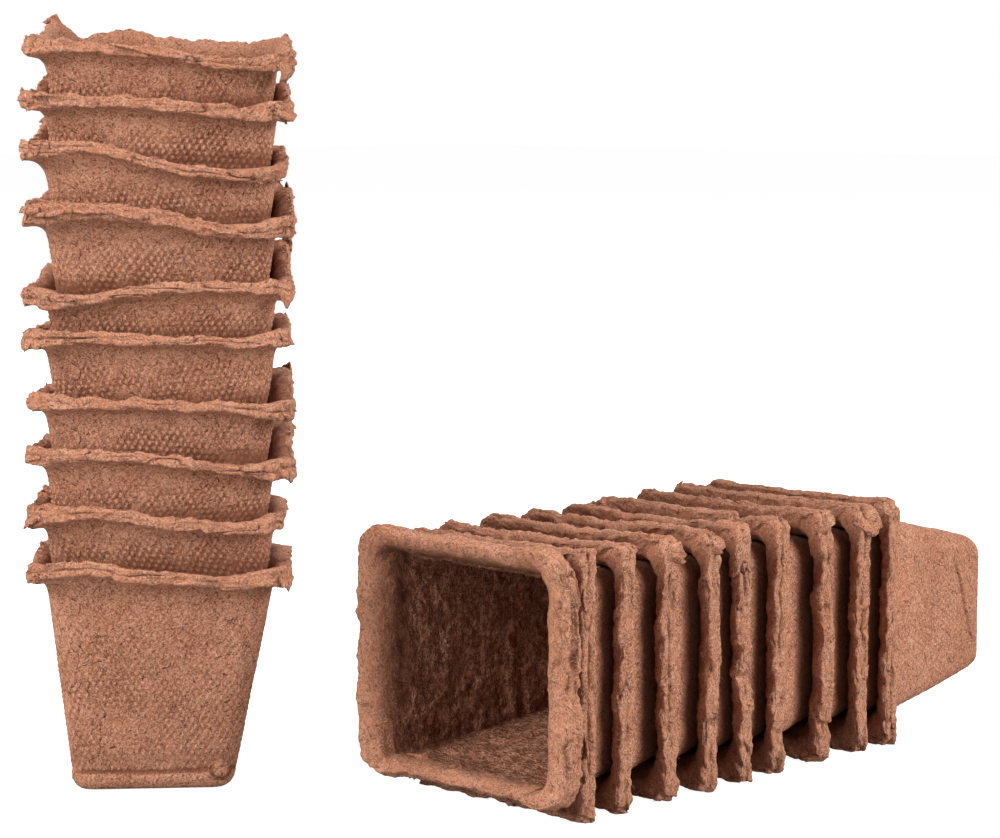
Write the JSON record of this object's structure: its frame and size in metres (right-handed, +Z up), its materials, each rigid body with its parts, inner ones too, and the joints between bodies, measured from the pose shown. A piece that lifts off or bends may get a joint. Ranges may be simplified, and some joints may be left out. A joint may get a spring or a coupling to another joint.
{
  "type": "nested square peat pots",
  "caption": "Square tapered peat fibre pots with ragged turned-out lips, nested in a standing stack and a lying stack, each pot pulling out of the one round it.",
  "frame": {"origin": "centre of the standing stack's foot, on the surface the pots stand on", "axes": "+Z up; +Y along the lying stack's axis, from its open mouth to its foot; +X to the right of that. The standing stack is turned 44.7 degrees about Z."},
  "size_m": [0.1885, 0.3039, 0.2294],
  "materials": {
    "peat_fibre": "matt pressed peat fibre"
  },
  "bodies": {
    "outer_pots": {"standing_pot_01": "peat_fibre", "lying_pot_01": "peat_fibre"},
    "standing_pot_02": {"standing_pot_02": "peat_fibre"},
    "standing_pot_03": {"standing_pot_03": "peat_fibre"},
    "standing_pot_04": {"standing_pot_04": "peat_fibre"},
    "standing_pot_05": {"standing_pot_05": "peat_fibre"},
    "standing_pot_06": {"standing_pot_06": "peat_fibre"},
    "standing_pot_07": {"standing_pot_07": "peat_fibre"},
    "standing_pot_08": {"standing_pot_08": "peat_fibre"},
    "standing_pot_09": {"standing_pot_09": "peat_fibre"},
    "standing_pot_10": {"standing_pot_10": "peat_fibre"},
    "lying_pot_02": {"lying_pot_02": "peat_fibre"},
    "lying_pot_03": {"lying_pot_03": "peat_fibre"},
    "lying_pot_04": {"lying_pot_04": "peat_fibre"},
    "lying_pot_05": {"lying_pot_05": "peat_fibre"},
    "lying_pot_06": {"lying_pot_06": "peat_fibre"},
    "lying_pot_07": {"lying_pot_07": "peat_fibre"},
    "lying_pot_08": {"lying_pot_08": "peat_fibre"},
    "lying_pot_09": {"lying_pot_09": "peat_fibre"},
    "lying_pot_10": {"lying_pot_10": "peat_fibre"}
  },
  "joints": [
    {"name": "standing_pot_02_pull", "type": "slide", "parent": "outer_pots", "child": "standing_pot_02", "axis": [0.0213, 0.0211, 0.9996], "range_m": [0, 0.07]},
    {"name": "standing_pot_03_pull", "type": "slide", "parent": "standing_pot_02", "child": "standing_pot_03", "axis": [0.0213, 0.0211, 0.9996], "range_m": [0, 0.07]},
    {"name": "standing_pot_04_pull", "type": "slide", "parent": "standing_pot_03", "child": "standing_pot_04", "axis": [0.0213, 0.0211, 0.9996], "range_m": [0, 0.07]},
    {"name": "standing_pot_05_pull", "type": "slide", "parent": "standing_pot_04", "child": "standing_pot_05", "axis": [0.0213, 0.0211, 0.9996], "range_m": [0, 0.07]},
    {"name": "standing_pot_06_pull", "type": "slide", "parent": "standing_pot_05", "child": "standing_pot_06", "axis": [0.0213, 0.0211, 0.9996], "range_m": [0, 0.07]},
    {"name": "standing_pot_07_pull", "type": "slide", "parent": "standing_pot_06", "child": "standing_pot_07", "axis": [0.0213, 0.0211, 0.9996], "range_m": [0, 0.07]},
    {"name": "standing_pot_08_pull", "type": "slide", "parent": "standing_pot_07", "child": "standing_pot_08", "axis": [0.0213, 0.0211, 0.9996], "range_m": [0, 0.07]},
    {"name": "standing_pot_09_pull", "type": "slide", "parent": "standing_pot_08", "child": "standing_pot_09", "axis": [0.0213, 0.0211, 0.9996], "range_m": [0, 0.07]},
    {"name": "standing_pot_10_pull", "type": "slide", "parent": "standing_pot_09", "child": "standing_pot_10", "axis": [0.0213, 0.0211, 0.9996], "range_m": [0, 0.07]},
    {"name": "lying_pot_02_pull", "type": "slide", "parent": "outer_pots", "child": "lying_pot_02", "axis": [0, -1, 0], "range_m": [0, 0.07]},
    {"name": "lying_pot_03_pull", "type": "slide", "parent": "lying_pot_02", "child": "lying_pot_03", "axis": [0, -1, 0], "range_m": [0, 0.07]},
    {"name": "lying_pot_04_pull", "type": "slide", "parent": "lying_pot_03", "child": "lying_pot_04", "axis": [0, -1, 0], "range_m": [0, 0.07]},
    {"name": "lying_pot_05_pull", "type": "slide", "parent": "lying_pot_04", "child": "lying_pot_05", "axis": [0, -1, 0], "range_m": [0, 0.07]},
    {"name": "lying_pot_06_pull", "type": "slide", "parent": "lying_pot_05", "child": "lying_pot_06", "axis": [0, -1, 0], "range_m": [0, 0.07]},
    {"name": "lying_pot_07_pull", "type": "slide", "parent": "lying_pot_06", "child": "lying_pot_07", "axis": [0, -1, 0], "range_m": [0, 0.07]},
    {"name": "lying_pot_08_pull", "type": "slide", "parent": "lying_pot_07", "child": "lying_pot_08", "axis": [0, -1, 0], "range_m": [0, 0.07]},
    {"name": "lying_pot_09_pull", "type": "slide", "parent": "lying_pot_08", "child": "lying_pot_09", "axis": [0, -1, 0], "range_m": [0, 0.07]},
    {"name": "lying_pot_10_pull", "type": "slide", "parent": "lying_pot_09", "child": "lying_pot_10", "axis": [0, -1, 0], "range_m": [0, 0.07]}
  ]
}
